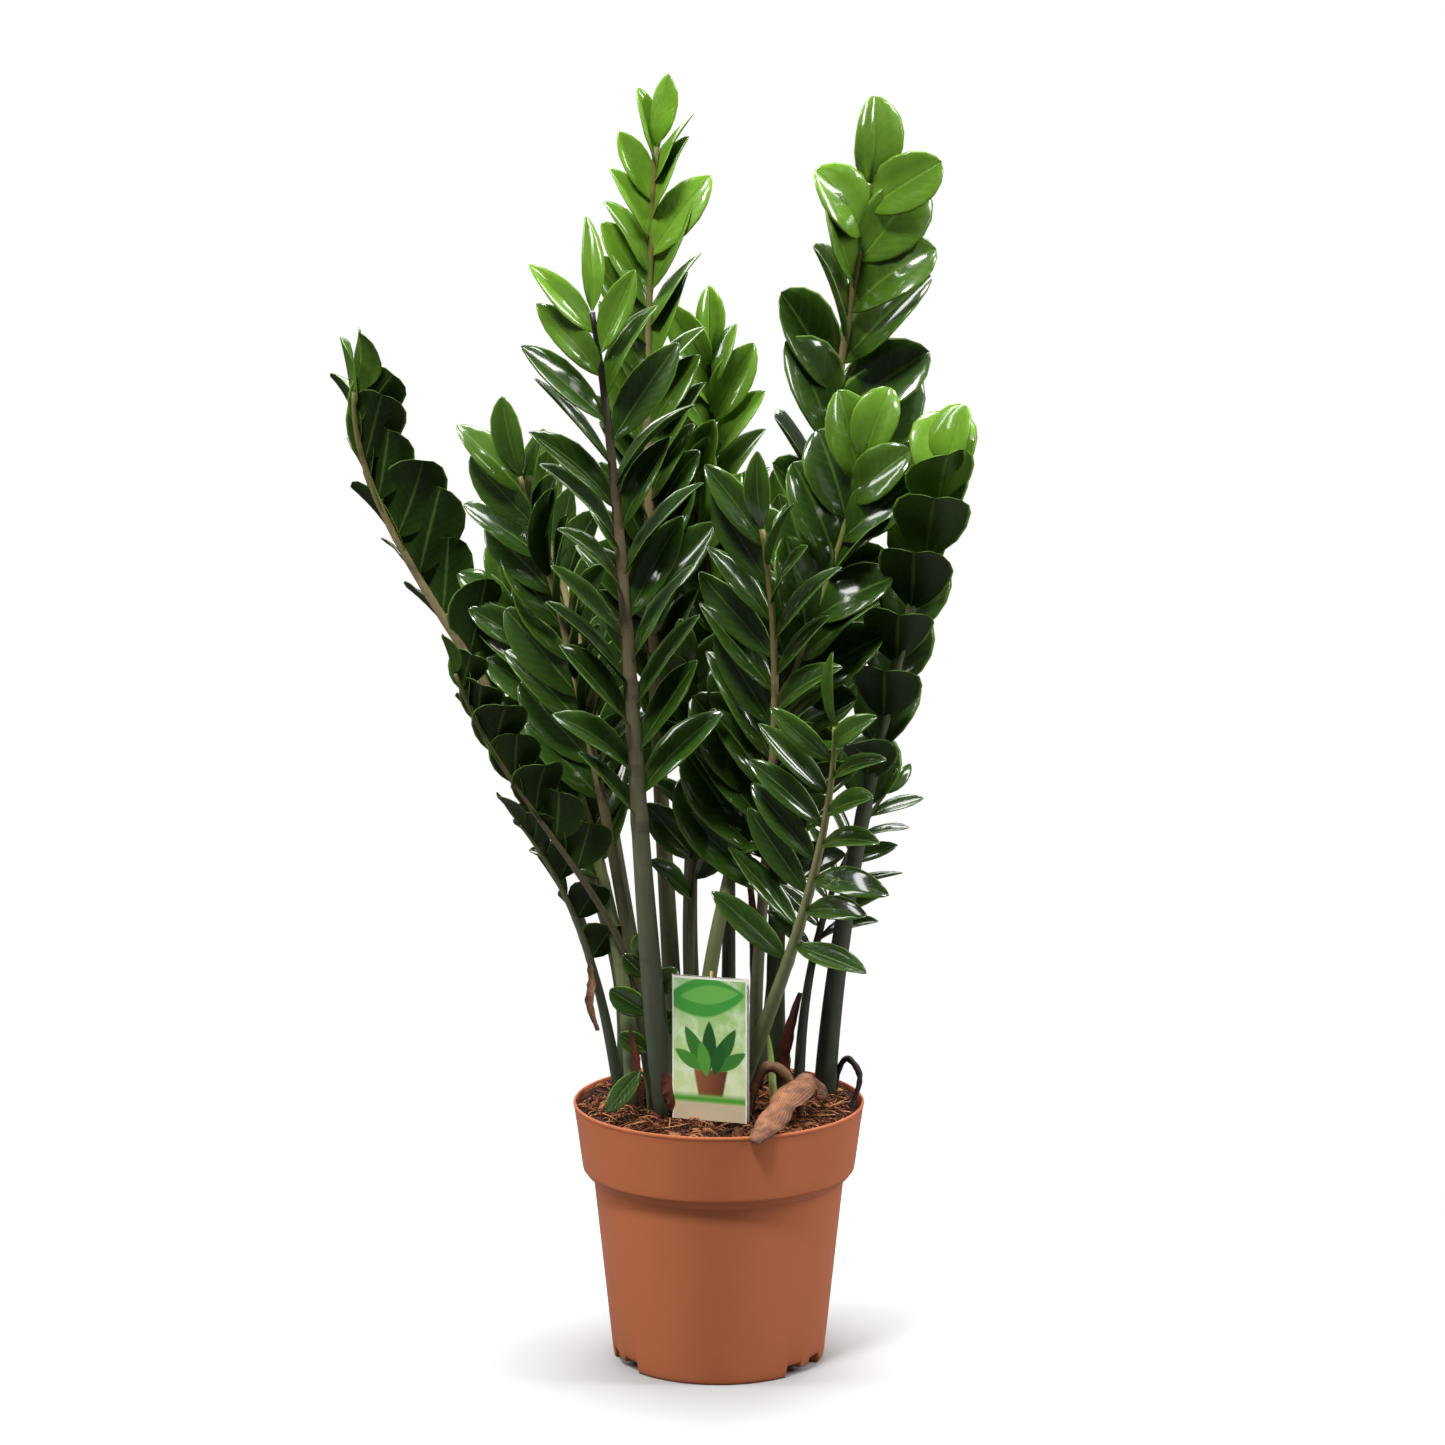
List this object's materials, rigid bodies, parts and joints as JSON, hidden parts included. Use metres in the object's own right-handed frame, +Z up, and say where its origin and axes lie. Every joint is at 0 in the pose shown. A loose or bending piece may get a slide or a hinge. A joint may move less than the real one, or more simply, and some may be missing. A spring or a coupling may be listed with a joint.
{
  "type": "potted zz plant",
  "caption": "Tall zz plant with arching stalks of glossy pointed leaflets, standing in a round terracotta-coloured plastic pot with a plain plant card.",
  "frame": {"origin": "centre of the pot's flat underside", "axes": "+Z up along the pot's axis and the plant's height; -Y is the front, the side that the plant card faces; +X is to the right seen from the front"},
  "size_m": [0.5765, 0.471, 1.1756],
  "materials": {
    "frond": "living leaf with a waxy gloss, dark green above and matt below, young tips yellow-green; stalks grey-green to tan",
    "young_shoot": "pale green living shoot",
    "dried_plant": "dry papery red-brown leaf and sheath",
    "potting_soil": "dark fibrous bark and coir potting mix",
    "pot_plastic": "satin moulded terracotta-coloured plastic",
    "label_card": "smooth printed card with a plain leaf picture",
    "label_stick": "plain bamboo"
  },
  "bodies": {
    "root": {"frond_01": "frond", "frond_02": "frond", "frond_03": "frond", "frond_04": "frond", "frond_05": "frond", "frond_06": "frond", "frond_07": "frond", "frond_08": "frond", "frond_09": "frond", "frond_10": "frond", "frond_11": "frond", "frond_12": "frond", "frond_13": "frond", "frond_14": "frond", "frond_15": "frond", "frond_16": "frond", "frond_17": "frond", "frond_18": "frond", "frond_19": "frond", "low_leaf": "frond", "young_shoot": "young_shoot", "dried_leaf": "dried_plant", "sheath_front": "dried_plant", "sheath_right": "dried_plant", "sheath_middle": "dried_plant", "sheath_left": "dried_plant", "sheath_inner": "dried_plant", "dead_stalk_arch": "dried_plant", "dead_stalk_loop": "dried_plant", "soil": "potting_soil", "pot": "pot_plastic", "label_card": "label_card", "label_stick": "label_stick"}
  },
  "joints": []
}
